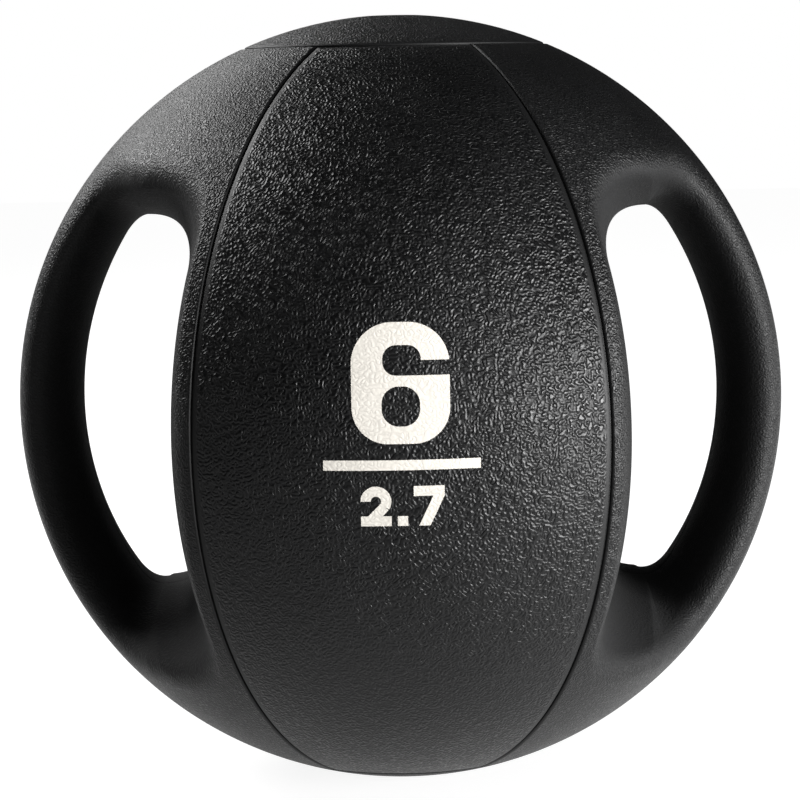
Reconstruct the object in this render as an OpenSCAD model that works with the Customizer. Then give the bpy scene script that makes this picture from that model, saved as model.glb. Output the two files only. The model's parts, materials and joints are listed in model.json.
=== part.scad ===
// Hollow rubber medicine ball with two handles moulded into its sides.
// Origin at the ball's centre, +Z through the valve, +X through the right
// handle, and the front panel faces -Y. Longitude is measured about Z, from
// the middle of the front panel (0) round to a handle (90).

/* [Ball] */
// Outside diameter of the ball
ball_d = 260; // [248:1:300]
// Thickness of the rubber cover: panels, caps and grip shells
cover_t = 4; // [3:0.5:5]
// Thickness of the rubber carcass under the cover
carcass_t = 5; // [3:0.5:8]
// Thickness of the nylon winding between carcass and bladder
winding_t = 0.8; // [0.5:0.1:1.5]
// Thickness of the butyl bladder
bladder_t = 1.4; // [1:0.1:2.5]
// Half width of the carcass, from the middle of the ball to a flat side
carcass_half_w = 54; // [44:1:56]

/* [Panels and caps] */
// Longitude of the front panel's two edges
panel_lon = 29; // [24:0.5:30]
// Angle that the round caps span, from the pole to their edge
cap_angle = 23.2; // [20:0.1:25]
// Width of the moulded groove along each seam
groove_w = 1.3; // [0.8:0.1:2]
// Depth of the moulded groove along each seam
groove_depth = 1; // [0.5:0.1:1.5]

/* [Finger openings] */
// Thickness of a handle, seen from the front
handle_t = 20.5; // [17:0.5:24]
// Height of an opening at the parting line
opening_h = 129; // [110:1:134]
// Half width of the body between the openings, at the parting line
waist_half_w = 74.5; // [72:0.5:78]
// Radius of the bowed inner wall of an opening, seen from the front
waist_bow_r = 215; // [180:1:300]
// Longitude of an opening's rim beside the front panel
rim_lon = 32; // [31.5:0.1:33]
// Height of an opening's rim on the ball's surface
rim_h = 157; // [146:1:162]
// Distance from the parting line to the rim, at the middle of a handle
rim_y_mid = 34; // [28:0.5:38]
// Distance from the parting line to the rim, at the ends of a handle
rim_y_end = 47; // [42:0.5:52]

/* [Rounding of the rims] */
// Rounding beside the front panel, measured along the surface
waist_round = 6.5; // [4:0.5:8]
// Rounding above and below an opening
end_round = 10; // [6:0.5:14]
// Rounding of the handle's edges
handle_round = 19; // [14:0.5:22]

/* [Valve] */
// Diameter of the passage for the inflating needle
needle_d = 2; // [1.6:0.1:2.4]
// Diameter of the valve's soft core
valve_core_d = 5; // [4:0.1:6]
// Diameter of the valve's housing
valve_d = 10; // [8:0.5:14]
// Diameter of the housing's flange inside the bladder
valve_flange_d = 24; // [18:1:32]
// Thickness of the housing's flange
valve_flange_t = 2; // [1.5:0.1:3]
// Depth of the dimple round the needle's hole
dimple_depth = 0.8; // [0.4:0.1:1.5]

/* [Weight marking] */
// Thickness of the printed ink
ink_t = 0.15; // [0.1:0.01:0.3]
// Height of the large numeral, which gives the weight in pounds
pounds_h = 35; // [28:1:40]
// Height of the small numerals, which give the weight in kilograms
kilograms_h = 12; // [8:0.5:14]
// Length of the line between the two
rule_length = 46; // [34:1:56]
// Height of the large numeral's foot above the ball's middle
pounds_foot = 3.5; // [2:0.1:8]
// Height of the small numerals' foot, below the ball's middle
kilograms_foot = -21; // [-26:0.1:-18]

/* [Hidden] */

cover_black = [0.075, 0.078, 0.082];
grip_black = [0.055, 0.057, 0.062];
carcass_grey = [0.16, 0.16, 0.17];
foam_grey = [0.30, 0.30, 0.32];
nylon_white = [0.85, 0.84, 0.78];
butyl_black = [0.10, 0.10, 0.11];
valve_black = [0.12, 0.12, 0.13];
ink_white = [0.88, 0.86, 0.80];

ball_r = ball_d / 2;
carcass_r = ball_r - cover_t;
// Grip shells are built of flat facets, and this keeps them off what is round.
facet_gap = 0.5;
// Angle at the ball's centre that a groove's width takes
groove_angle = groove_w / ball_r * 180 / PI;
far = ball_d;
ball_fn = 180;
round_fn = 48;

// Latitudes of the rim's top and of the cap's edge on the grip shells
rim_lat = asin(rim_h / ball_d);
cap_lat = 90 - cap_angle - facet_gap / ball_r * 180 / PI;
// Latitude where a grip's silhouette starts to belong to the handle
handle_end_lat = rim_lat + 8;

// How finely the grip shells are divided: samples along the waist, the inner
// corner, the top, the outer corner and the handle of half an opening
samples = [5, 4, 5, 4, 7];
half_count = samples[0] + samples[1] + samples[2] + samples[3] + samples[4];
wall_rows = 4;
round_rows = 4;
// Longest facet from an opening's rim to a cap's seam
skin_facet = 14;
skin_rows = ceil((cap_lat - rim_lat) * PI / 180 * ball_r / skin_facet);
row_count = wall_rows + round_rows + skin_rows + 1;
skin_start = wall_rows + round_rows;

// ---- Vectors and curves --------------------------------------------------

function unit(v) = v / norm(v);
function blend(a, b, t) = a + (b - a) * t;
function globe(r, lon, lat) =
    [r * cos(lat) * sin(lon), -r * cos(lat) * cos(lon), r * sin(lat)];
function bezier2(a, b, c, t) =
    blend(blend(a, b, t), blend(b, c, t), t);
function bezier3(a, b, c, d, t) =
    blend(bezier2(a, b, c, t), bezier2(b, c, d, t), t);

// A half outline from five curves: waist, inner corner, top, outer corner and
// handle, each a function of 0 to 1.
function half_outline(curves) = concat(
    [for (k = [0:4]) for (i = [0:samples[k] - 1]) curves[k](i / samples[k])],
    [curves[4](1)]
);
// The same, from three curves that meet in two corners which are rounded off.
// trims holds how much of each curve's end the rounding takes.
function rounded_half(waist, top, handle, trims) = half_outline([
    function (t) waist(t * (1 - trims[0])),
    function (t) bezier2(waist(1 - trims[0]), top(0), top(trims[1]), t),
    function (t) top(blend(trims[1], 1 - trims[2], t)),
    function (t) bezier2(top(1 - trims[2]), top(1), handle(trims[3]), t),
    function (t) handle(blend(trims[3], 1, t))
]);

// ---- The right grip's surface ---------------------------------------------

handle_inner_r = ball_r - handle_t;
throat_top = opening_h / 2;
// How much of the waist, of the top at both its ends and of the handle is
// taken by the rounded corners
throat_trims = [0.27, 0.72, 0.2, 0.13];
rim_trims = [0.3, 0.6, 0.25, 0.1];
throat_handle_angle = asin(throat_top / handle_inner_r);

function throat_waist(t) =
    let (z = t * throat_top) [waist_half_w - z * z / (2 * waist_bow_r), 0, z];
function throat_handle(t) =
    let (a = throat_handle_angle * (1 - t))
    handle_inner_r * [cos(a), 0, sin(a)];
function throat_lid(t) = blend(throat_waist(1), throat_handle(0), t);
// The opening's outline at the parting line
throat = rounded_half(function (t) throat_waist(t), function (t) throat_lid(t),
    function (t) throat_handle(t), throat_trims);

// How far the rim lies from the parting line, on the handle side
function rim_y(z) = blend(rim_y_mid, rim_y_end, pow(2 * z / rim_h, 2));
rim_handle_lon = acos(rim_y_end / (ball_r * cos(rim_lat)));
function rim_waist(t) = globe(ball_r, rim_lon, rim_lat * t);
function rim_lid(t) = globe(ball_r, blend(rim_lon, rim_handle_lon, t), rim_lat);
function rim_handle(t) =
    let (z = rim_h / 2 * (1 - t), y = rim_y(z))
    [sqrt(ball_r * ball_r - y * y - z * z), -y, z];
// The opening's outline on the ball's surface
rim = [for (p = rounded_half(function (t) rim_waist(t), function (t) rim_lid(t),
    function (t) rim_handle(t), rim_trims)) ball_r * unit(p)];

// The grip shell's outer edge: the front panel's seam, the cap's seam and the
// parting line round the handle
edge = half_outline([
    function (t) globe(ball_r, panel_lon, rim_lat * t),
    function (t) globe(ball_r, panel_lon, blend(rim_lat, cap_lat, t)),
    function (t) globe(ball_r, blend(panel_lon, 90, t), cap_lat),
    function (t) globe(ball_r, 90, blend(cap_lat, handle_end_lat, t)),
    function (t) globe(ball_r, 90, handle_end_lat * (1 - t))
]);

rounding = half_outline([
    function (t) waist_round,
    function (t) blend(waist_round, end_round, t),
    function (t) end_round,
    function (t) blend(end_round, handle_round, t),
    function (t) handle_round
]);

// One line of points from the throat, out along the flared wall, round the rim
// and over the ball's surface to the edge
function profile(throat_p, rim_p, edge_p, reach) =
    let (
        flare = [rim_p.x - throat_p.x, 0, rim_p.z - throat_p.z],
        depth = [0, rim_p.y, 0],
        w = 1 - reach / norm(rim_p - throat_p),
        on_wall = throat_p + flare * w * w + depth * w,
        wall_dir = unit(2 * w * flare + depth),
        skin_reach = min(reach, 0.8 * norm(edge_p - rim_p)),
        on_skin = ball_r * unit(blend(rim_p, edge_p, skin_reach / norm(edge_p - rim_p))),
        skin_out = unit(on_skin),
        to_rim = rim_p - on_skin,
        skin_dir = unit(to_rim - (to_rim * skin_out) * skin_out),
        arm = 2 / 3
    )
    concat(
        [for (i = [0:wall_rows - 1]) let (s = w * i / wall_rows)
            throat_p + flare * s * s + depth * s],
        [for (i = [0:round_rows - 1]) bezier3(
            on_wall, on_wall + wall_dir * reach * arm,
            on_skin + skin_dir * skin_reach * arm, on_skin, i / round_rows)],
        [for (i = [0:skin_rows]) ball_r * unit(blend(on_skin, edge_p, i / skin_rows))]
    );

// All lines of the front half, from the waist over the top to the handle and
// back below. The lower half mirrors the upper one.
function flip_z(line) = [for (p = line) [p.x, p.y, -p.z]];
upper_lines = [for (k = [0:half_count]) profile(throat[k], rim[k], edge[k], rounding[k])];
function around(upper) = concat(upper, [for (k = [half_count - 1:-1:1]) flip_z(upper[k])]);
grip_lines = around(upper_lines);
line_count = len(grip_lines);

// The surface's outward direction at each point
function outward(lines, k, i) =
    i >= skin_start ? unit(lines[k][i]) :
    let (
        next = lines[(k + 1) % line_count],
        last = lines[(k + line_count - 1) % line_count],
        along = next[i] - last[i],
        across = lines[k][i + 1] - lines[k][max(i - 1, 0)],
        n = cross(along, i == 0 ? [0, -1, 0] : across)
    )
    unit(n);
function sunk(lines, depth) =
    [for (k = [0:line_count - 1]) [for (i = [0:row_count - 1])
        lines[k][i] - depth * outward(lines, k, i)]];

shell_lines = sunk(grip_lines, cover_t - facet_gap);

// Faces between neighbouring lines of a closed ring of lines, each of count
// points, whose first point has the number first
function ring_faces(rings, count, first, flip) =
    [for (k = [0:rings - 1]) for (i = [0:count - 2])
        let (
            a = first + k * count + i,
            b = first + ((k + 1) % rings) * count + i
        )
        each flip
            ? [[a, b, b + 1], [a, b + 1, a + 1]]
            : [[a, b + 1, b], [a, a + 1, b + 1]]];
// Faces that join the ring's row i to the same row of a second ring
function strip_faces(rings, count, second, i, flip) =
    [for (k = [0:rings - 1])
        let (
            a = k * count + i,
            b = ((k + 1) % rings) * count + i,
            c = second + b,
            d = second + a
        )
        each flip ? [[a, b, c], [a, c, d]] : [[a, c, b], [a, d, c]]];

module grip_half() {
    inner_first = line_count * row_count;
    polyhedron(
        points = [for (line = concat(grip_lines, shell_lines)) each line],
        faces = concat(
            ring_faces(line_count, row_count, 0, false),
            ring_faces(line_count, row_count, inner_first, true),
            strip_faces(line_count, row_count, inner_first, 0, false),
            strip_faces(line_count, row_count, inner_first, row_count - 1, true)
        )
    );
}

// ---- The handle's core ------------------------------------------------------

// The core's front surface lies just under the grip shell, and runs out to the
// flat side of the carcass instead of to the panel's seam.
side_ring_r = sqrt(carcass_r * carcass_r - carcass_half_w * carcass_half_w);
side_top_lat = asin(side_ring_r / carcass_r);
// An angle round that side, from the top (0) to the middle of the front (90)
function side_ring(angle) =
    [carcass_half_w, -side_ring_r * sin(angle), side_ring_r * cos(angle)];
waist_end_angle = 62;
lid_start_angle = 36;
core_edge = half_outline([
    function (t) side_ring(blend(90, waist_end_angle, t)),
    function (t) side_ring(blend(waist_end_angle, lid_start_angle, t)),
    function (t) side_ring(blend(lid_start_angle, 0, t)),
    function (t) globe(carcass_r, 90, blend(side_top_lat, handle_end_lat, t)),
    function (t) globe(carcass_r, 90, handle_end_lat * (1 - t))
]);
// Lines with number 0 to ring_end, and their mirror images, end on that ring
ring_end = samples[0] + samples[1] + samples[2];

core_front = let (
        under = sunk(grip_lines, cover_t),
        upper = [for (k = [0:half_count]) concat(
            [for (i = [0:skin_start - 1]) under[k][i]],
            [for (i = [0:skin_rows])
                carcass_r * unit(blend(under[k][skin_start], core_edge[k], i / skin_rows))]
        )]
    )
    around(upper);
// Each whole line runs from the front edge through the throat to the rear edge
core_lines = [for (line = core_front) concat(
    [for (i = [row_count - 1:-1:1]) line[i]],
    [for (i = [0:row_count - 1]) [line[i].x, -line[i].y, line[i].z]]
)];
core_count = 2 * row_count - 1;

module handle_core() {
    // The flat face on the carcass: its corners down the front and up the rear
    front_half = concat(
        [for (k = [ring_end:-1:0]) k * core_count],
        [for (k = [line_count - 1:-1:line_count - ring_end]) k * core_count]
    );
    rear_half = [for (i = [len(front_half) - 2:-1:1]) front_half[i] + core_count - 1];
    polyhedron(
        points = [for (line = core_lines) each line],
        faces = concat(
            ring_faces(line_count, core_count, 0, true),
            [concat(front_half, rear_half)]
        )
    );
}

// ---- Solids of the body ------------------------------------------------------

module globe_shell(outer_r, inner_r) {
    difference() {
        sphere(r = outer_r, $fn = ball_fn);
        sphere(r = inner_r, $fn = ball_fn);
    }
}

// A cone from the ball's centre up through the top cap's edge
module polar_cone(angle) {
    cylinder(h = far, r1 = 0, r2 = far * tan(angle), $fn = ball_fn);
}

module half_space(y_sign) {
    translate([-far, y_sign < 0 ? -far : 0, -far]) cube([2 * far, far, 2 * far]);
}

// A layer of the panel between two radii, inset from the panel's four edges by
// an angle
module panel_layer(outer_r, inner_r, inset) {
    lon = panel_lon - inset;
    lat = 90 - cap_angle - inset;
    corner = far * [cos(lat), sin(lat)];
    rotate([0, 0, -90 - lon])
        rotate_extrude(angle = 2 * lon, $fn = ball_fn)
            difference() {
                intersection() {
                    circle(r = outer_r, $fn = ball_fn);
                    polygon([[0, 0], corner, [3 * far, 0], [corner.x, -corner.y]]);
                }
                circle(r = inner_r, $fn = ball_fn);
            }
}

// The groove is a step in the edge of the panel's outer layer.
module front_cover_panel() {
    panel_layer(ball_r - groove_depth, carcass_r, 0);
    panel_layer(ball_r, ball_r - groove_depth, groove_angle);
}

module pole_cap() {
    difference() {
        intersection() {
            globe_shell(ball_r, carcass_r);
            polar_cone(cap_angle);
        }
        difference() {
            globe_shell(ball_r + 1, ball_r - groove_depth);
            polar_cone(cap_angle - groove_angle);
        }
    }
}

// A drum with the ball's curve round its rim, flat sides and rounded edges. It
// is centred on the X axis.
module drum(r, half_w, edge_r) {
    edge_x = half_w - edge_r;
    edge_y = sqrt(pow(r - edge_r, 2) - edge_x * edge_x);
    rotate([0, 90, 0])
        rotate_extrude($fn = ball_fn)
            intersection() {
                translate([0, -far]) square([far, 2 * far]);
                union() {
                    intersection() {
                        circle(r = r, $fn = ball_fn);
                        polygon([[0, 0], far * [edge_y, edge_x], far * [edge_y, -edge_x]]);
                    }
                    translate([0, -half_w]) square([edge_y, 2 * half_w]);
                    for (side = [-1, 1])
                        translate([edge_y, side * edge_x]) circle(r = edge_r, $fn = round_fn);
                }
            }
}

drum_edge_r = 18;
module cavity(inset) {
    drum(carcass_r - carcass_t - inset, carcass_half_w - carcass_t - inset,
        drum_edge_r - inset);
}

module valve_hole(d) {
    cylinder(h = far, d = d, $fn = round_fn);
}

module carcass() {
    difference() {
        intersection() {
            sphere(r = carcass_r, $fn = ball_fn);
            cube([2 * carcass_half_w, far, far], center = true);
        }
        cavity(0);
        valve_hole(valve_d);
    }
}

// ---- Weight marking ------------------------------------------------------------
// Plain numerals of bars and arcs. Each stands on the X axis, with its left edge
// on the Y axis.

stroke_share = 0.25;

module ring_sector(r, stroke, from, to) {
    reach = 3 * r;
    steps = 6;
    difference() {
        intersection() {
            circle(r = r, $fn = round_fn);
            polygon(concat([[0, 0]], [for (i = [0:steps])
                let (a = blend(from, to, i / steps)) reach * [cos(a), sin(a)]]));
        }
        circle(r = r - stroke, $fn = round_fn);
    }
}

module bar(a, b, stroke) {
    length = norm(b - a);
    translate(a) rotate(atan2(b.y - a.y, b.x - a.x))
        translate([0, -stroke / 2]) square([length, stroke]);
}

// A rectangle with round corners
module block(w, h, r) {
    translate([r, 0]) square([w - 2 * r, h]);
    translate([0, r]) square([w, h - 2 * r]);
    for (x = [r, w - r]) for (y = [r, h - r])
        translate([x, y]) circle(r = r, $fn = round_fn);
}

module glyph_6(w, h, s) {
    thin = s * 0.75;
    bowl_h = h * 0.62;
    hole_w = w - 2 * s;
    gap_y = bowl_h - thin * 0.3;
    gap_h = h - thin - gap_y;
    gap_x = s * 1.05;
    difference() {
        union() {
            block(w, bowl_h, bowl_h * 0.49);
            block(w, h, w * 0.42);
        }
        translate([s, thin]) block(hole_w, bowl_h - 2 * thin, hole_w * 0.45);
        // The gap under the numeral's upper end
        translate([gap_x, gap_y]) block(hole_w, gap_h, gap_h * 0.45);
        translate([gap_x + hole_w / 2, gap_y]) square([w, gap_h * 0.5]);
    }
}

module glyph_2(w, h, s) {
    r = w / 2;
    // Where the arc turns into the slanted stroke
    turn = -32;
    slant_top = [r, h - r] + (r - s / 2) * [cos(turn), sin(turn)];
    translate([r, h - r]) ring_sector(r, s, turn, 180);
    square([w, s]);
    intersection() {
        square([w, h - r]);
        bar([s * 0.45, 0], slant_top, s);
    }
}

module glyph_7(w, h, s) {
    foot_x = w * 0.16;
    leg_w = s * 1.1;
    translate([0, h - s]) square([w, s]);
    polygon([[foot_x, 0], [foot_x + leg_w, 0], [w, h - s], [w - leg_w, h - s]]);
}

module on_front(foot_z) {
    intersection() {
        globe_shell(ball_r + ink_t, ball_r);
        translate([0, 0, foot_z]) rotate([90, 0, 0])
            linear_extrude(height = far) children();
    }
}

// ---- Nodes -----------------------------------------------------------------------

module front_panel() { color(cover_black) front_cover_panel(); }
module rear_panel() { color(cover_black) mirror([0, 1, 0]) front_cover_panel(); }

module top_cap() {
    color(cover_black) difference() {
        pole_cap();
        valve_hole(valve_d);
    }
}
module bottom_cap() { color(cover_black) mirror([0, 0, 1]) pole_cap(); }

module right_grip_front() { color(grip_black) grip_half(); }
module right_grip_rear() { color(grip_black) mirror([0, 1, 0]) grip_half(); }
module left_grip_front() { color(grip_black) mirror([1, 0, 0]) grip_half(); }
module left_grip_rear() { color(grip_black) mirror([1, 0, 0]) mirror([0, 1, 0]) grip_half(); }

module right_handle_core() { color(foam_grey) handle_core(); }
module left_handle_core() { color(foam_grey) mirror([1, 0, 0]) handle_core(); }

module carcass_front() {
    color(carcass_grey) intersection() {
        carcass();
        half_space(-1);
    }
}
module carcass_rear() {
    color(carcass_grey) intersection() {
        carcass();
        half_space(1);
    }
}

module nylon_winding() {
    color(nylon_white) difference() {
        cavity(0);
        cavity(winding_t);
        valve_hole(valve_d);
    }
}

bladder_top = carcass_r - carcass_t - winding_t - bladder_t;
module bladder() {
    color(butyl_black) difference() {
        cavity(winding_t);
        cavity(winding_t + bladder_t);
        valve_hole(valve_d);
    }
}

module valve_housing() {
    color(valve_black) difference() {
        union() {
            intersection() {
                translate([0, 0, bladder_top - valve_flange_t])
                    cylinder(h = far, d = valve_d, $fn = round_fn);
                sphere(r = ball_r - dimple_depth, $fn = ball_fn);
            }
            // The flange lies against the bladder's inner face.
            intersection() {
                cylinder(h = far, d = valve_flange_d, $fn = round_fn);
                globe_shell(bladder_top, bladder_top - valve_flange_t);
            }
        }
        translate([0, 0, bladder_top - 2 * valve_flange_t])
            cylinder(h = far, d = valve_core_d, $fn = round_fn);
    }
}

module valve_core() {
    color(valve_black) difference() {
        intersection() {
            translate([0, 0, bladder_top - valve_flange_t])
                cylinder(h = far, d = valve_core_d, $fn = round_fn);
            sphere(r = ball_r - dimple_depth, $fn = ball_fn);
        }
        translate([0, 0, bladder_top - 2 * valve_flange_t])
            cylinder(h = far, d = needle_d, $fn = round_fn);
    }
}

// A six, centred on the panel
module pounds_numeral() {
    width = pounds_h * 0.82;
    color(ink_white) on_front(pounds_foot)
        translate([-width / 2, 0]) glyph_6(width, pounds_h, pounds_h * stroke_share);
}

// Two point seven, centred under a line
module kilograms_numerals() {
    stroke = kilograms_h * stroke_share;
    width = kilograms_h * 0.75;
    space = stroke * 0.6;
    total = 2 * width + stroke + 2 * space;
    rule_foot = (pounds_foot + kilograms_foot + kilograms_h - stroke) / 2;
    color(ink_white) {
        on_front(kilograms_foot) translate([-total / 2, 0]) {
            glyph_2(width, kilograms_h, stroke);
            translate([width + space, 0]) square(stroke);
            translate([width + stroke + 2 * space, 0]) glyph_7(width, kilograms_h, stroke);
        }
        on_front(rule_foot) translate([-rule_length / 2, 0]) square([rule_length, stroke]);
    }
}

front_panel();
rear_panel();
top_cap();
bottom_cap();
left_grip_front();
left_grip_rear();
right_grip_front();
right_grip_rear();
left_handle_core();
right_handle_core();
carcass_front();
carcass_rear();
nylon_winding();
bladder();
valve_housing();
valve_core();
pounds_numeral();
kilograms_numerals();
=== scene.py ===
"""Looks of a rubber medicine ball with two moulded handles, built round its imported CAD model.

Everything is in metres in the model's own frame: the origin is the ball's centre, +Z runs
through the valve, +X through the right handle, and the front panel faces -Y. Longitude is
measured about Z from the middle of the front panel round to a handle.
"""
import json
import math

import bpy
import numpy as np
from mathutils import Matrix, Vector


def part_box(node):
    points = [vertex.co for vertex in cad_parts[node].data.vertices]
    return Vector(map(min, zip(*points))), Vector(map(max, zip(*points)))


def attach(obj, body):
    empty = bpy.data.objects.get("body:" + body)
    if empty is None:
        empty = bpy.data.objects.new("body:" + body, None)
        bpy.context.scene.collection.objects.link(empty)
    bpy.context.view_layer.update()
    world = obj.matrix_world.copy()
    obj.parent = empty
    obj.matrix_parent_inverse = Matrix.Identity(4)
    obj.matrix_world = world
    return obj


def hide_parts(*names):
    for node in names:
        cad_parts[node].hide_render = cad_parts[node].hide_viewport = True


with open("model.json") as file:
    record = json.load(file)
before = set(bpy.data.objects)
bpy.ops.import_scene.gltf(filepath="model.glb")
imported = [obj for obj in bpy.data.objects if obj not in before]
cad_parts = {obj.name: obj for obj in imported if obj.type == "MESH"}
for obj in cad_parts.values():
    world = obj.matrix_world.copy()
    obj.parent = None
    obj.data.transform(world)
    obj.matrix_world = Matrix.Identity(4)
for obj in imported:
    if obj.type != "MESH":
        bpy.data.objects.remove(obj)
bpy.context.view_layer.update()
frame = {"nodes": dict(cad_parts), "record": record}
NODES = frame["nodes"]

MM = 0.001

# ---- Sizes ------------------------------------------------------------------------------
# Those of the ball, panels, caps, openings and handles are the CAD model's.

BALL_R = -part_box("front_panel")[0].y
CARCASS_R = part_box("carcass_front")[1].z
VALVE_HOLE_R = 5 * MM
# A cap with no valve closes to a pinhole too small to see
PINHOLE_R = 0.05 * MM

# Longitude of the panel's seam, and angle from the pole to the cap's seam
PANEL_LON = math.radians(29)
CAP_ANGLE = math.radians(23.2)
CAP_LAT = math.pi / 2 - CAP_ANGLE

# An opening is narrowest at its throat, half way through, and widens to a rim at the skin.
# The waist is its side towards the ball's middle, bowed to a radius.
HANDLE_T = 20.5 * MM
OPENING_H = 129 * MM
WAIST_HALF_W = 74.5 * MM
WAIST_BOW_R = 215 * MM
RIM_LON = math.radians(32)
RIM_H = 157 * MM
# How far forward the handle's rim lies, at mid height and at its ends
RIM_Y_MID = 34 * MM
RIM_Y_END = 47 * MM
RIM_LAT = math.asin(RIM_H / 2 / BALL_R)
HANDLE_END_LAT = RIM_LAT + math.radians(8)
# Reach of the rounding between wall and skin
WAIST_ROUND = 6.5 * MM
END_ROUND = 10 * MM
HANDLE_ROUND = 19 * MM
# The shell's inner face is out of sight, and a little nearer the skin than the CAD model's
GRIP_WALL = 3 * MM
# Shares of the waist, the top (twice) and the handle that the rounded corners take. The
# throat's corners are a little rounder than the CAD model's. They meet, so the throat's top
# has no straight part, and its lines start at one point.
THROAT_TRIMS = (0.38, 0.8, 0.2, 0.11)
RIM_TRIMS = (0.3, 0.6, 0.25, 0.1)

# Along each seam the surface is smooth, dips in a soft trough and ends in a narrow groove.
# The groove is narrower than the CAD model's.
GROOVE_DEPTH = 1.0 * MM
GROOVE_W = 0.6 * MM
TROUGH_DEPTH = 0.45 * MM
EDGE_R = 0.35 * MM
PANEL_BAND = 2.4 * MM
GRIP_BAND = 0.8 * MM
PARTING_BAND = 0.7 * MM
PARTING_DEPTH = 0.12 * MM
GRAIN_FADE = 1.0 * MM

# ---- Vectors and curves -----------------------------------------------------------------


def length(v):
    return np.linalg.norm(v, axis=-1, keepdims=True)


def unit(v):
    return v / length(v)


def blend(a, b, t):
    return a + (b - a) * t


def column(t):
    """Numbers as a column, so that they scale rows of points."""
    return np.asarray(t, float)[..., None]


def bezier2(a, b, c, t):
    return blend(blend(a, b, t), blend(b, c, t), t)


def bezier3(a, b, c, d, t):
    return blend(bezier2(a, b, c, t), bezier2(b, c, d, t), t)


def globe(r, lon, lat):
    """Points at a longitude and latitude on a sphere of radius r."""
    lon, lat = np.broadcast_arrays(lon, lat)
    flat = r * np.cos(lat)
    return np.stack([flat * np.sin(lon), -flat * np.cos(lon), r * np.sin(lat)], -1)


def smooth_step(t):
    t = np.clip(t, 0, 1)
    return t * t * (3 - 2 * t)


# Lines across half an opening: along the waist, the inner corner, the top, the outer
# corner and the handle
SAMPLES = (44, 36, 20, 34, 50)
# Rows from the throat out: on the wall, round the rim and on the skin
WALL_ROWS = 40
ROUND_ROWS = 26
SKIN_ROWS = 34
# Distances from a seam at which the last rows lie
EDGE_ROWS = MM * np.array([
    3.2, 2.6, 2.1, 1.7, 1.35, 1.05, 0.8, 0.6, 0.45, 0.32, 0.2, 0.1, 0.04, 0,
])


def half_outline(curves):
    parts = [curve(np.arange(n) / n) for curve, n in zip(curves, SAMPLES)]
    return np.concatenate(parts + [curves[-1](np.array([1.0]))])


def rounded_half(waist, top, handle, trims):
    """Three curves that meet in two corners, which are rounded off. trims holds how much of
    each curve's end the rounding takes."""
    one = np.array([1.0])
    corner_in = (waist(one * (1 - trims[0])), top(one * 0), top(one * trims[1]))
    corner_out = (top(one * (1 - trims[2])), top(one), handle(one * trims[3]))
    return half_outline([
        lambda t: waist(t * (1 - trims[0])),
        lambda t: bezier2(*corner_in, column(t)),
        lambda t: top(blend(trims[1], 1 - trims[2], t)),
        lambda t: bezier2(*corner_out, column(t)),
        lambda t: handle(blend(trims[3], 1, t)),
    ])


# ---- The right grip's front half --------------------------------------------------------

HANDLE_INNER_R = BALL_R - HANDLE_T
THROAT_TOP = OPENING_H / 2
THROAT_HANDLE_ANGLE = math.asin(THROAT_TOP / HANDLE_INNER_R)
RIM_HANDLE_LON = math.acos(RIM_Y_END / (BALL_R * math.cos(RIM_LAT)))


def throat_waist(t):
    z = t * THROAT_TOP
    return np.stack([WAIST_HALF_W - z * z / (2 * WAIST_BOW_R), 0 * z, z], -1)


def throat_handle(t):
    a = THROAT_HANDLE_ANGLE * (1 - t)
    return HANDLE_INNER_R * np.stack([np.cos(a), 0 * a, np.sin(a)], -1)


def throat_lid(t):
    one = np.array([1.0])
    return blend(throat_waist(one), throat_handle(one * 0), column(t))


def rim_waist(t):
    return globe(BALL_R, RIM_LON, RIM_LAT * t)


def rim_lid(t):
    return globe(BALL_R, blend(RIM_LON, RIM_HANDLE_LON, t), RIM_LAT + 0 * t)


def rim_handle(t):
    z = RIM_H / 2 * (1 - t)
    y = blend(RIM_Y_MID, RIM_Y_END, (2 * z / RIM_H) ** 2)
    return np.stack([np.sqrt(BALL_R ** 2 - y * y - z * z), -y, z], -1)


def grip_edge():
    """The shell's outer edge: the panel's seam, the cap's seam and the parting line."""
    side = math.pi / 2
    return half_outline([
        lambda t: globe(BALL_R, PANEL_LON, RIM_LAT * t),
        lambda t: globe(BALL_R, PANEL_LON, blend(RIM_LAT, CAP_LAT, t)),
        lambda t: globe(BALL_R, blend(PANEL_LON, side, t), CAP_LAT + 0 * t),
        lambda t: globe(BALL_R, side, blend(CAP_LAT, HANDLE_END_LAT, t)),
        lambda t: globe(BALL_R, side, HANDLE_END_LAT * (1 - t)),
    ])


def grip_rounding():
    """The rounding's reach at each line."""
    return half_outline([
        lambda t: WAIST_ROUND + 0 * t,
        lambda t: blend(WAIST_ROUND, END_ROUND, t),
        lambda t: END_ROUND + 0 * t,
        lambda t: blend(END_ROUND, HANDLE_ROUND, t),
        lambda t: HANDLE_ROUND + 0 * t,
    ])


# Length of the rounding curve's control arms, as a share of its reach
ROUND_ARM = 2 / 3
# The rounding, and the close rows at the edge, take at most this share of the skin
MOST_OF_SKIN = 0.8


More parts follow.
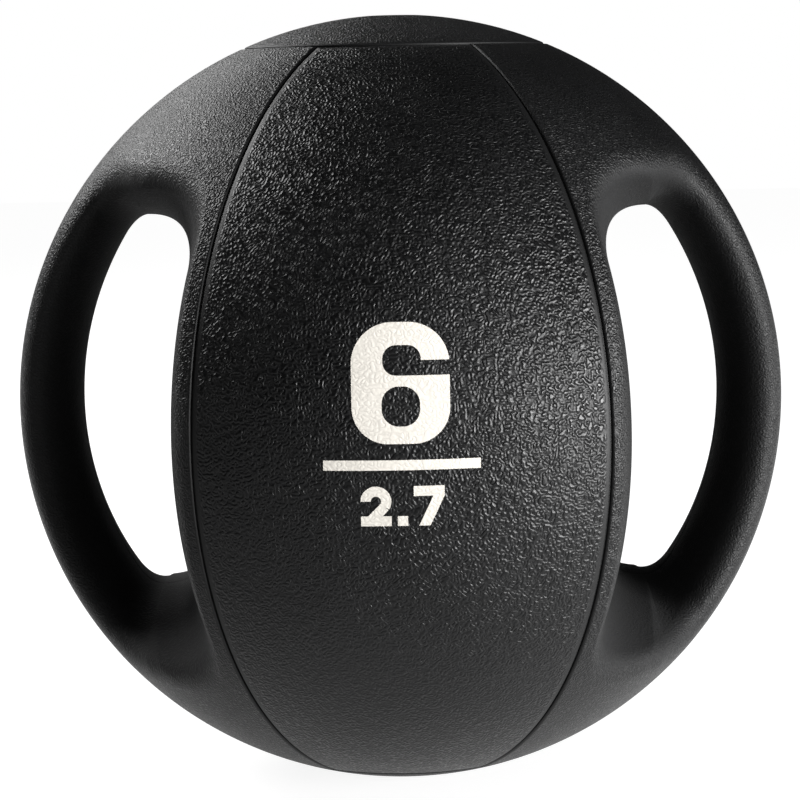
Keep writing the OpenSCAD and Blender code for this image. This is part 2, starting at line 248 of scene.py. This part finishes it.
def grip_lines():
    """Lines of points from the opening's throat over the rim to the shell's edge, all round
    the front half, as an array of lines by rows by 3."""
    throat = rounded_half(throat_waist, throat_lid, throat_handle, THROAT_TRIMS)
    rim = BALL_R * unit(rounded_half(rim_waist, rim_lid, rim_handle, RIM_TRIMS))
    edge = grip_edge()
    reach = column(grip_rounding())

    # The wall is a parabola from the throat towards the rim
    flare = (rim - throat) * [1, 0, 1]
    depth = rim * [0, 1, 0]
    wall_end = 1 - reach / length(rim - throat)
    on_wall = throat + flare * wall_end ** 2 + depth * wall_end
    wall_dir = unit(2 * wall_end * flare + depth)

    to_edge = length(edge - rim)
    skin_reach = np.minimum(reach, MOST_OF_SKIN * to_edge)
    on_skin = BALL_R * unit(blend(rim, edge, skin_reach / to_edge))
    skin_out = unit(on_skin)
    to_rim = rim - on_skin
    skin_dir = unit(to_rim - (to_rim * skin_out).sum(1, keepdims=True) * skin_out)
    skin_length = length(edge - on_skin)
    close_span = np.minimum(1, MOST_OF_SKIN * skin_length / EDGE_ROWS[0])
    near_edge = close_span * EDGE_ROWS / skin_length

    rows = []
    for i in range(WALL_ROWS):
        s = wall_end * i / WALL_ROWS
        rows.append(throat + flare * s * s + depth * s)
    for i in range(ROUND_ROWS):
        rows.append(bezier3(on_wall, on_wall + wall_dir * reach * ROUND_ARM,
                            on_skin + skin_dir * skin_reach * ROUND_ARM, on_skin, i / ROUND_ROWS))
    for i in range(SKIN_ROWS):
        rows.append(BALL_R * unit(blend(on_skin, edge, (1 - near_edge[:, :1]) * i / SKIN_ROWS)))
    for i in range(len(EDGE_ROWS)):
        rows.append(BALL_R * unit(blend(on_skin, edge, 1 - near_edge[:, i:i + 1])))
    upper = np.stack(rows, 1)
    lower = upper[-2:0:-1] * [1, 1, -1]
    return np.concatenate([upper, lower])


def grip_normals(lines):
    """Outward directions of the grip's surface. At the throat, where the top's lines start at
    one point, the direction comes out undefined: a known fault."""
    skin_start = WALL_ROWS + ROUND_ROWS
    along = np.roll(lines, -1, 0) - np.roll(lines, 1, 0)
    across = np.empty_like(lines)
    across[:, 1:-1] = lines[:, 2:] - lines[:, :-2]
    across[:, 0] = [0, -1, 0]
    across[:, -1] = lines[:, -1] - lines[:, -2]
    normals = unit(np.cross(along, across))
    normals[:, skin_start:] = unit(lines[:, skin_start:])
    return normals


# ---- Seams ------------------------------------------------------------------------------


def trough(d, band, depth=TROUGH_DEPTH):
    """How deep the surface lies at a distance d from a groove's edge."""
    soft = depth * np.clip(1 - d / band, 0, 1) ** 2
    near = np.clip(EDGE_R - d, 0, EDGE_R)
    return soft + (EDGE_R - np.sqrt(EDGE_R ** 2 - near ** 2)) * (depth / TROUGH_DEPTH)


def seam_distances(p):
    """Distances along the ball from points of a grip to the panel's seam, the cap's seam and
    the parting line, on the side where x is positive and y negative."""
    out = unit(p)
    panel_normal = np.array([math.cos(PANEL_LON), math.sin(PANEL_LON), 0])
    to_panel = BALL_R * np.arcsin(np.clip(out @ panel_normal, -1, 1))
    to_cap = BALL_R * (CAP_LAT - np.abs(np.arcsin(np.clip(out[..., 2], -1, 1))))
    to_parting = np.abs(p[..., 1])
    return to_panel, to_cap, to_parting


SMOOTH_SHARE = 0.8


def grain_share(d, band):
    """0 on the smooth part of the band beside a seam, rising to 1 where the grain is whole."""
    return smooth_step((d - SMOOTH_SHARE * band) / GRAIN_FADE + 0.5)


# ---- Meshes -----------------------------------------------------------------------------


def grid_faces(count, rows, closed, first=0):
    """Quads between count lines of rows points each."""
    k = np.arange(count if closed else count - 1)[:, None]
    i = np.arange(rows - 1)[None, :]
    a = first + k * rows + i
    b = first + ((k + 1) % count) * rows + i
    return np.stack([a, b, b + 1, a + 1], -1).reshape(-1, 4)


def strip_faces(ring_a, ring_b):
    """Quads between two closed rings of as many points. Where they are used here they are
    wound against their neighbours: a known fault, out of sight in the seams."""
    return np.stack([ring_a, ring_b, np.roll(ring_b, -1), np.roll(ring_a, -1)], -1)


def signed_volume(points, quads):
    a, b, c, d = (points[quads[:, j]] for j in range(4))
    return ((a * np.cross(b, c)).sum() + (a * np.cross(c, d)).sum()) / 6


def in_scene(name, data):
    """An object that holds some data, put in the scene."""
    obj = bpy.data.objects.new(name, data)
    bpy.context.scene.collection.objects.link(obj)
    return obj


def solid(name, points, quads, grain, mirror=(1, 1, 1), dull=None):
    """A mesh object, turned outward by the sign of its volume. grain is how much of the pebble
    grain each point carries, and dull is 1 where the rubber has no shine. A grip's volume is
    undefined, so the two grips that are mirrored once stay inside out: a known fault."""
    if dull is None:
        dull = np.zeros(len(points))
    points = points * np.array(mirror)
    if signed_volume(points, quads) < 0:
        quads = quads[:, ::-1]
    mesh = bpy.data.meshes.new(name)
    mesh.from_pydata(points.tolist(), [], quads.tolist())
    for layer, values in (("grain", grain), ("dull", dull)):
        share = mesh.attributes.new(layer, "FLOAT", "POINT")
        share.data.foreach_set("value", np.asarray(values, np.float32))
    mesh.update()
    mesh.shade_smooth()
    piece = in_scene(name, mesh)
    mark_sharp_edges(mesh)
    return piece


SHARP_ANGLE = math.radians(50)


def mark_sharp_edges(mesh):
    """Edges between faces that meet at a steep angle are shaded sharp."""
    count = len(mesh.polygons)
    normals = np.empty(count * 3, np.float32)
    mesh.polygons.foreach_get("normal", normals)
    normals = normals.reshape(-1, 3)
    loop_edges = np.empty(len(mesh.loops), np.int32)
    mesh.loops.foreach_get("edge_index", loop_edges)
    totals = np.empty(count, np.int32)
    mesh.polygons.foreach_get("loop_total", totals)
    loop_faces = np.repeat(np.arange(count), totals)
    order = np.argsort(loop_edges, kind="stable")
    first, second = loop_faces[order][0::2], loop_faces[order][1::2]
    steep = (normals[first] * normals[second]).sum(1) < math.cos(SHARP_ANGLE)
    sharp = mesh.attributes.get("sharp_edge")
    if sharp is None:
        sharp = mesh.attributes.new("sharp_edge", "BOOLEAN", "EDGE")
    sharp.data.foreach_set("value", steep)


def join_shell(outer, inner):
    """Points and quads of a closed shell from an outer and an inner grid, both closed rings
    of lines, joined along their first and last rows."""
    count, rows = outer.shape[:2]
    inner_rows = inner.shape[1]
    first = count * rows
    k = np.arange(count)
    quads = np.concatenate([
        grid_faces(count, rows, True),
        grid_faces(count, inner_rows, True, first)[:, ::-1],
        strip_faces(k * rows, first + k * inner_rows)[:, ::-1],
        strip_faces(k * rows + rows - 1, first + k * inner_rows + inner_rows - 1),
    ])
    return np.concatenate([outer.reshape(-1, 3), inner.reshape(-1, 3)]), quads


# Distance given to points that are far from every seam
FAR = 1.0
# How much of the grain the openings' walls lose
WALL_GRAIN_LOSS = 0.45
# The inner face takes one row in this many, on the wall and further out
INNER_WALL_STEP = 4
INNER_SKIN_STEP = 3


def make_grips():
    """The four grip shells: one surface, mirrored."""
    lines = grip_lines()
    row_count = lines.shape[1]
    normals = grip_normals(lines)
    to_panel, to_cap, to_parting = seam_distances(lines)
    on_skin = np.zeros(lines.shape[:2], bool)
    on_skin[:, WALL_ROWS + ROUND_ROWS // 2:] = True
    to_seam = np.where(on_skin, np.minimum(to_panel, to_cap), FAR)
    depth = trough(np.maximum(to_seam, 0), GRIP_BAND)
    parting = trough(to_parting, PARTING_BAND, PARTING_DEPTH)
    outer = lines - normals * column(np.maximum(depth, parting))
    last = row_count - 1
    picked = np.r_[0:WALL_ROWS:INNER_WALL_STEP, WALL_ROWS:last:INNER_SKIN_STEP, last]
    inner = (lines - normals * GRIP_WALL)[:, picked]
    points, quads = join_shell(outer, inner)
    wall = 1 - smooth_step((np.arange(row_count) - WALL_ROWS) / ROUND_ROWS)
    under = np.zeros(inner.shape[0] * inner.shape[1])
    grain = grain_share(to_seam, GRIP_BAND) * (1 - WALL_GRAIN_LOSS * wall)
    grain = np.concatenate([grain.ravel(), under])
    dull = np.concatenate([np.broadcast_to(wall, lines.shape[:2]).ravel(), under])
    pieces = {}
    for side, x in (("left", -1), ("right", 1)):
        for end, y in (("front", 1), ("rear", -1)):
            node = f"{side}_grip_{end}"
            pieces[node] = solid(node + "_shell", points, quads, grain, (x, y, 1), dull)
    return pieces


def edge_profile(d, band=PANEL_BAND, depth=TROUGH_DEPTH):
    """Depth of a panel or cap at a distance d from its seam: a ledge under the groove, a
    rounded edge, and the soft trough beside it."""
    return np.where(d < GROOVE_W, GROOVE_DEPTH, trough(d - GROOVE_W, band, depth))


# Distances from a seam at which the rows of a panel or cap lie. Two of them are a hair apart,
# at the groove's wall.
WALL_HAIR = 0.01 * MM
SEAM_ROWS = np.concatenate([
    [0, 0.5 * GROOVE_W, GROOVE_W - WALL_HAIR],
    GROOVE_W + np.array([0, 0.05, 0.12, 0.2, 0.3, 0.42, 0.6, 0.8, 1.1, 1.5, 2, 2.6, 3.3, 4]) * MM,
])
PANEL_STEP = 1.3 * MM


def panel_rows(half_span, r):
    """Angles from -half_span to half_span, close together near both ends."""
    ends = SEAM_ROWS / r
    middle_span = half_span - ends[-1]
    count = int(math.ceil(2 * middle_span * r / PANEL_STEP))
    middle = np.linspace(-middle_span, middle_span, count + 1)
    return np.concatenate([ends - half_span, middle[1:-1], (half_span - ends)[::-1]])


def make_panels():
    """The front and rear panels, as closed shells of a grid by longitude and latitude."""
    lons = panel_rows(PANEL_LON, BALL_R)
    lats = panel_rows(CAP_LAT, BALL_R)
    lon, lat = np.meshgrid(lons, lats, indexing="ij")
    plain = globe(1, lon, lat)
    to_side = BALL_R * np.arcsin(np.cos(lat) * np.sin(PANEL_LON - np.abs(lon)))
    to_end = BALL_R * (CAP_LAT - np.abs(lat))
    d = np.minimum(to_side, to_end)
    outer = plain * column(BALL_R - edge_profile(d))
    inner = plain * CARCASS_R
    rows, cols = lon.shape
    first = rows * cols
    numbers = np.arange(first).reshape(rows, cols)
    rim = np.concatenate([
        numbers[:-1, 0], numbers[-1, :-1], numbers[:0:-1, -1], numbers[0, :0:-1],
    ])
    quads = np.concatenate([
        grid_faces(rows, cols, False),
        grid_faces(rows, cols, False, first)[:, ::-1],
        strip_faces(rim, rim + first)[:, ::-1],
    ])
    points = np.concatenate([outer.reshape(-1, 3), inner.reshape(-1, 3)])
    grain = np.concatenate([grain_share(d - GROOVE_W, PANEL_BAND).ravel(), np.zeros(first)])
    return {
        "front_panel": solid("front_panel_cover", points, quads, grain),
        "rear_panel": solid("rear_panel_cover", points, quads, grain, (1, -1, 1)),
    }


# Points round a cap
CAP_TURNS = 240
CAP_BAND = 1.0 * MM
CAP_TROUGH = 0.2 * MM
# Dip of the top cap round the valve
DIMPLE_DEPTH = 0.8 * MM
DIMPLE_BAND = 4.5 * MM
DIMPLE_SMOOTH = 0.6 * DIMPLE_BAND
HOLE_ROWS = np.array([0, 0.25, 0.6, 1, 1.5, 2, 2.6, 3.3, 4, 5]) * MM
INNER_CAP_STEP = 3


def cap_rings(hole_r):
    """Angles from the pole for a cap's rings."""
    near_hole = math.asin(hole_r / BALL_R) + HOLE_ROWS / BALL_R
    near_seam = CAP_ANGLE - SEAM_ROWS[::-1] / BALL_R
    count = int(math.ceil((near_seam[0] - near_hole[-1]) * BALL_R / PANEL_STEP))
    middle = np.linspace(near_hole[-1], near_seam[0], count + 1)
    return np.concatenate([near_hole, middle[1:-1], near_seam])


def make_cap(name, hole_r, dimple, z_sign):
    """A round cap as a closed ring: its outer face, its seam side, its inner face and the
    side of its hole. dimple is the depth of the dip round the hole."""
    angles = cap_rings(hole_r)
    d = BALL_R * (CAP_ANGLE - angles)
    from_hole = BALL_R * (angles - angles[0])
    depth = edge_profile(d, CAP_BAND, CAP_TROUGH)
    depth = depth + dimple * np.clip(1 - from_hole / DIMPLE_BAND, 0, 1) ** 2
    grain = grain_share(d - GROOVE_W, CAP_BAND)
    if dimple:
        grain = grain * grain_share(from_hole, DIMPLE_SMOOTH)
    picked = np.arange(len(angles))[::-1][::INNER_CAP_STEP]
    if picked[-1]:
        picked = np.append(picked, 0)
    r = np.concatenate([BALL_R - depth, np.full(len(picked), CARCASS_R)])
    theta = np.concatenate([angles, angles[picked]])
    rows = len(r)
    k = np.arange(CAP_TURNS)
    turn = column(k * 2 * math.pi / CAP_TURNS)
    flat = r * np.sin(theta)
    height = np.broadcast_to(r * np.cos(theta), (CAP_TURNS, rows))
    points = np.stack([flat * np.cos(turn), flat * np.sin(turn), height], -1)
    quads = np.concatenate([
        grid_faces(CAP_TURNS, rows, True),
        strip_faces(k * rows + rows - 1, k * rows),
    ])
    share = np.broadcast_to(np.concatenate([grain, np.zeros(len(picked))]), (CAP_TURNS, rows))
    return solid(name, points.reshape(-1, 3), quads, share.ravel(), (1, 1, z_sign))


# ---- Materials --------------------------------------------------------------------------


class Graph:
    """Builds shader nodes: each call adds a node and links or sets what is given to it."""

    def __init__(self, node_tree):
        self.nodes = node_tree.nodes
        self.links = node_tree.links

    def connect(self, value, socket):
        if isinstance(value, bpy.types.NodeSocket):
            self.links.new(value, socket)
        else:
            socket.default_value = value

    def math(self, operation, a, b=0.0, clamp=False):
        node = self.nodes.new("ShaderNodeMath")
        node.operation = operation
        node.use_clamp = clamp
        self.connect(a, node.inputs[0])
        self.connect(b, node.inputs[1])
        return node.outputs[0]

    def ramp(self, value, low, high, to_low=0.0, to_high=1.0):
        node = self.nodes.new("ShaderNodeMapRange")
        self.connect(value, node.inputs["Value"])
        self.connect(low, node.inputs["From Min"])
        self.connect(high, node.inputs["From Max"])
        self.connect(to_low, node.inputs["To Min"])
        self.connect(to_high, node.inputs["To Max"])
        return node.outputs["Result"]

    def mix(self, share, a, b):
        node = self.nodes.new("ShaderNodeMix")
        node.data_type = "RGBA"
        self.connect(share, node.inputs["Factor"])
        self.connect(a, node.inputs["A"])
        self.connect(b, node.inputs["B"])
        return node.outputs["Result"]

    def rays(self):
        return self.nodes.new("ShaderNodeLightPath").outputs


class Finish(Graph):
    """The nodes of a new material, placed by the object's own coordinates."""

    def __init__(self, name):
        self.material = bpy.data.materials.new(name)
        self.material.use_nodes = True
        super().__init__(self.material.node_tree)
        self.shader = self.nodes["Principled BSDF"]
        self.place = self.nodes.new("ShaderNodeTexCoord").outputs["Object"]

    def noise(self, size, detail=2.0):
        node = self.nodes.new("ShaderNodeTexNoise")
        self.connect(self.place, node.inputs["Vector"])
        node.inputs["Scale"].default_value = 1 / size
        node.inputs["Detail"].default_value = detail
        return node.outputs["Fac"]

    def cells(self, size):
        node = self.nodes.new("ShaderNodeTexVoronoi")
        self.connect(self.place, node.inputs["Vector"])
        node.inputs["Scale"].default_value = 1 / size
        return node.outputs["Distance"]

    def bump(self, height, distance):
        node = self.nodes.new("ShaderNodeBump")
        self.connect(height, node.inputs["Height"])
        node.inputs["Distance"].default_value = distance
        self.links.new(node.outputs["Normal"], self.shader.inputs["Normal"])

    def attribute(self, name):
        node = self.nodes.new("ShaderNodeAttribute")
        node.attribute_name = name
        return node.outputs["Fac"]

    def finish(self, colour, roughness, specular):
        self.connect(colour, self.shader.inputs["Base Color"])
        self.connect(roughness, self.shader.inputs["Roughness"])
        self.shader.inputs["Specular IOR Level"].default_value = specular
        return self.material


def grey(level, tint=(1, 1, 1)):
    return (level * tint[0], level * tint[1], level * tint[2], 1)


COOL = (0.96, 0.99, 1.06)


# Off the middle level of the noise by this much, a pebble's top is reached
PEBBLE_SLOPE = 0.24
# Part of the grain's height that is the fine unevenness on top
FINE_PART = 0.12


def pebbles(tree, cell):
    """Height of a pebble grain, and of its tops alone, from 0 to 1: short crooked blobs about
    a cell apart, parted by narrow valleys along the middle level of a noise."""
    level = tree.noise(cell * 0.8, 0.0)
    off_middle = tree.math("ABSOLUTE", tree.math("SUBTRACT", level, 0.5))
    top = tree.ramp(off_middle, 0.0, PEBBLE_SLOPE)
    fine = tree.math("MULTIPLY", tree.noise(cell * 0.3, 1.0), FINE_PART)
    return tree.math("ADD", tree.math("MULTIPLY", top, 1 - FINE_PART), fine), top


PATCH_SIZE = 38 * MM
# Darkest and lightest patches, as shares of a rubber's grey
PATCH_RANGE = (0.8, 1.25)
PATCH_ROUGHNESS = 0.03
# Roughness added where the "dull" attribute is 1
DULL_ROUGHNESS = 0.35


def rubber(name, cell, height, level, gloss, dull, specular):
    """Moulded rubber of a grey level, with a pebble grain of cells of a size and height. gloss
    and dull are the roughness on the pebbles' tops and between them."""
    tree = Finish(name)
    share = tree.attribute("grain")
    grain, top = pebbles(tree, cell)
    tree.bump(tree.math("MULTIPLY", grain, share), height)
    patch = tree.noise(PATCH_SIZE, 3.0)
    dark, light = (grey(level * part, COOL) for part in PATCH_RANGE)
    colour = tree.mix(tree.ramp(patch, 0.35, 0.65), dark, light)
    shine = tree.math("MULTIPLY", top, share)
    rough = tree.math("SUBTRACT", dull, tree.math("MULTIPLY", shine, dull - gloss))
    uneven = tree.ramp(patch, 0.3, 0.7, -PATCH_ROUGHNESS, PATCH_ROUGHNESS)
    rough = tree.math("ADD", rough, uneven)
    unlit = tree.math("MULTIPLY", tree.attribute("dull"), DULL_ROUGHNESS)
    return tree.finish(colour, tree.math("ADD", rough, unlit, clamp=True), specular)


INK_WHITE = (0.86, 0.82, 0.75, 1)
# Painted shade: the ink's colour in the grain's hollows
INK_SHADED = (0.55, 0.52, 0.47, 1)
# Painted shade in the grain's hollows: the share of the shaded ink colour there, where it is
# least and most
INK_HOLLOW_SHADE = (0.15, 0.5)


def printed_ink(name, cell, height):
    """Ink that lies in the panel's grain, with painted shade in the grain's hollows."""
    tree = Finish(name)
    grain, top = pebbles(tree, cell)
    tree.bump(grain, height)
    # Painted shade: the ink turns grey in the grain's hollows, more in some patches than in
    # others
    hollow = tree.ramp(top, 0.0, 0.6, 1.0, 0.0)
    hollow_shade = tree.math("MULTIPLY", hollow, tree.ramp(tree.noise(9 * MM), 0.35, 0.8, *INK_HOLLOW_SHADE))
    colour = tree.mix(hollow_shade, INK_WHITE, INK_SHADED)
    return tree.finish(colour, tree.ramp(top, 0, 1, 0.62, 0.5), 0.35)


def foam(name):
    """Closed-cell foam with small bubbles, with painted shade in their hollows."""
    tree = Finish(name)
    bubbles = tree.cells(1.4 * MM)
    tree.bump(bubbles, 0.5 * MM)
    # Painted shade: darker grey in the bubbles' hollows, lighter on the walls between them
    colour = tree.mix(tree.ramp(bubbles, 0.1, 0.6), grey(0.09), grey(0.15))
    return tree.finish(colour, tree.ramp(bubbles, 0, 1, 0.95, 0.8), 0.2)


def plain_rubber(name, level, dull, specular):
    """Smooth rubber with faint flow marks."""
    tree = Finish(name)
    marks = tree.noise(4 * MM, 4.0)
    tree.bump(marks, 0.06 * MM)
    patch = tree.ramp(tree.noise(25 * MM), 0.35, 0.65)
    colour = tree.mix(patch, grey(level * 0.8), grey(level * 1.2))
    return tree.finish(colour, tree.ramp(marks, 0.3, 0.7, dull - 0.06, dull + 0.06), specular)


THREAD_PITCH = 2.4 * MM
THREAD_TURNS = ((0, 0, 0), (0.9, 0, 0.5), (0, 1.1, 1.3))


def wound_thread(name):
    """Threads laid in crossing directions, set in cement."""
    tree = Finish(name)
    height = 0.0
    for turn in THREAD_TURNS:
        mapping = tree.nodes.new("ShaderNodeMapping")
        mapping.inputs["Rotation"].default_value = turn
        tree.connect(tree.place, mapping.inputs["Vector"])
        wave = tree.nodes.new("ShaderNodeTexWave")
        wave.inputs["Scale"].default_value = 1 / THREAD_PITCH / (2 * math.pi)
        wave.inputs["Distortion"].default_value = 1.2
        tree.connect(mapping.outputs["Vector"], wave.inputs["Vector"])
        height = tree.math("MAXIMUM", height, wave.outputs["Fac"])
    tree.bump(height, 0.4 * MM)
    colour = tree.mix(height, grey(0.35, (1, 0.95, 0.82)), grey(0.68, (1, 0.97, 0.88)))
    return tree.finish(colour, tree.ramp(height, 0, 1, 0.85, 0.6), 0.3)


PANEL_CELL = 1.6 * MM
PANEL_GRAIN = 0.26 * MM
# The ink fills the panel's grain, which shows through it this much
INK_GRAIN = 0.3
MATERIALS = {
    "pebbled_cover": rubber("pebbled_cover", PANEL_CELL, PANEL_GRAIN, level=0.004,
                            gloss=0.3, dull=0.5, specular=0.45),
    "fine_cover": rubber("fine_cover", 1.25 * MM, 0.23 * MM, level=0.005,
                         gloss=0.4, dull=0.55, specular=0.4),
    "grip_rubber": rubber("grip_rubber", 1.25 * MM, 0.22 * MM, level=0.004,
                          gloss=0.38, dull=0.52, specular=0.45),
    "foam_core": foam("foam_core"),
    "carcass_rubber": plain_rubber("carcass_rubber", level=0.05, dull=0.7, specular=0.3),
    "nylon": wound_thread("nylon"),
    "butyl": plain_rubber("butyl", level=0.03, dull=0.45, specular=0.4),
    "valve_rubber": plain_rubber("valve_rubber", level=0.03, dull=0.55, specular=0.35),
    "ink": printed_ink("ink", PANEL_CELL, PANEL_GRAIN * INK_GRAIN),
}
SLOTS = {row["node"]: row["material_slot"] for row in frame["record"]["subparts"]}


def dress(obj, slot):
    obj.data.materials.clear()
    obj.data.materials.append(MATERIALS[slot])


# ---- The pieces -------------------------------------------------------------------------

covers = {}
covers.update(make_panels())
covers.update(make_grips())
covers["top_cap"] = make_cap("top_cap_cover", VALVE_HOLE_R, DIMPLE_DEPTH, 1)
covers["bottom_cap"] = make_cap("bottom_cap_cover", PINHOLE_R, 0, -1)

for node, piece in covers.items():
    dress(piece, SLOTS[node])
    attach(piece, "root")
    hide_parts(node)

for node, obj in NODES.items():
    if node not in covers:
        dress(obj, SLOTS[node])

# ---- Floor, background, camera and lights -------------------------------------------------

FLOOR_SIZE = 8.0
FLOOR_GREY = 0.35
FLOOR_GLOW = 0.88
# The white sweep that the ball mirrors lies behind it and to its right. Along this direction
# it rises from nothing to its whole strength between two places.
SWEEP_AIM = (0.6, 0.8)
SWEEP_START = -0.22
SWEEP_WHOLE = 0.06


def white_floor(name):
    """A pale surface that looks white to the camera, and in reflections where the sweep is,
    and still takes the object's shadow."""
    tree = Finish(name)
    rays = tree.rays()
    mirrored = tree.math("MAXIMUM", rays["Is Glossy Ray"], rays["Is Transmission Ray"])
    place = tree.nodes.new("ShaderNodeNewGeometry").outputs["Position"]
    split = tree.nodes.new("ShaderNodeSeparateXYZ")
    tree.connect(place, split.inputs[0])
    along = [
        tree.math("MULTIPLY", split.outputs[axis], share)
        for axis, share in zip("XY", SWEEP_AIM)
    ]
    sweep = tree.ramp(tree.math("ADD", *along), SWEEP_START, SWEEP_WHOLE)
    seen = tree.math("MAXIMUM", rays["Is Camera Ray"], tree.math("MULTIPLY", mirrored, sweep))
    tree.connect(grey(1), tree.shader.inputs["Emission Color"])
    tree.connect(tree.math("MULTIPLY", seen, FLOOR_GLOW), tree.shader.inputs["Emission Strength"])
    return tree.finish(grey(FLOOR_GREY), 0.9, 0.0)


def make_floor():
    """A level square under the ball."""
    half = FLOOR_SIZE / 2
    corners = [(x * half, y * half, -BALL_R) for x, y in ((-1, -1), (1, -1), (1, 1), (-1, 1))]
    mesh = bpy.data.meshes.new("floor")
    mesh.from_pydata(corners, [], [(0, 1, 2, 3)])
    mesh.materials.append(white_floor("floor_white"))
    in_scene("floor", mesh)


# Strength of the world on the surfaces, and in their reflections
ROOM_LIGHT = 0.28
ROOM_SHEEN = 0.01


def make_world():
    """White where the camera looks, an even light on the surfaces, and a dark room in their
    reflections."""
    world = bpy.data.worlds.new("studio")
    world.use_nodes = True
    bpy.context.scene.world = world
    graph = Graph(world.node_tree)
    rays = graph.rays()
    seen = graph.math("MAXIMUM", rays["Is Camera Ray"], rays["Is Transmission Ray"])
    room = graph.ramp(rays["Is Diffuse Ray"], 0.0, 1.0, ROOM_SHEEN, ROOM_LIGHT)
    background = graph.nodes["Background"]
    graph.connect(grey(1), background.inputs["Color"])
    graph.connect(graph.ramp(seen, 0.0, 1.0, room, 1.0), background.inputs["Strength"])


CAMERA_DISTANCE = 6.2 * BALL_R
CAMERA_ELEVATION = math.radians(7.75)
CAMERA_ROLL = math.radians(1.1)
LENS_MM = 104.9
SENSOR_MM = 36
CAMERA_SHIFT = (-0.0008, -0.0056)
CLIP_START = 0.05


def make_camera():
    data = bpy.data.cameras.new("camera")
    data.lens = LENS_MM
    data.sensor_width = SENSOR_MM
    data.shift_x, data.shift_y = CAMERA_SHIFT
    data.clip_start = CLIP_START
    camera = in_scene("camera", data)
    back = Vector((0, -math.cos(CAMERA_ELEVATION), math.sin(CAMERA_ELEVATION)))
    right = Vector((1, 0, 0))
    up = back.cross(right)
    turned_right = right * math.cos(CAMERA_ROLL) - up * math.sin(CAMERA_ROLL)
    turned_up = right * math.sin(CAMERA_ROLL) + up * math.cos(CAMERA_ROLL)
    place = Matrix((turned_right, turned_up, back)).transposed().to_4x4()
    place.translation = back * CAMERA_DISTANCE
    camera.matrix_world = place
    bpy.context.scene.camera = camera


LAMP_DISTANCE = 1.5
# Azimuth in degrees from the camera's side round to +X, elevation in degrees, width and
# height in metres, and watts
LAMPS = {
    "key": (57, 3, 1.1, 0.42, 38),
    "fill": (25, 30, 0.7, 0.7, 2),
    "back_left": (238, 36, 0.7, 0.7, 15),
    "back_top": (205, 27, 0.7, 0.3, 2.5),
}


def make_lamp(name, azimuth, elevation, width, height, power):
    """A rectangular lamp that faces the ball."""
    a, e = math.radians(azimuth), math.radians(elevation)
    toward = Vector((math.cos(e) * math.sin(a), -math.cos(e) * math.cos(a), math.sin(e)))
    data = bpy.data.lights.new(name, "AREA")
    data.shape = "RECTANGLE"
    data.size = width
    data.size_y = height
    data.energy = power
    lamp = in_scene(name, data)
    lamp.location = toward * LAMP_DISTANCE
    lamp.rotation_euler = (-toward).to_track_quat("-Z", "Y").to_euler()


make_floor()
make_world()
make_camera()
for lamp_name, setting in LAMPS.items():
    make_lamp(lamp_name, *setting)

bpy.context.scene.view_settings.view_transform = "Standard"
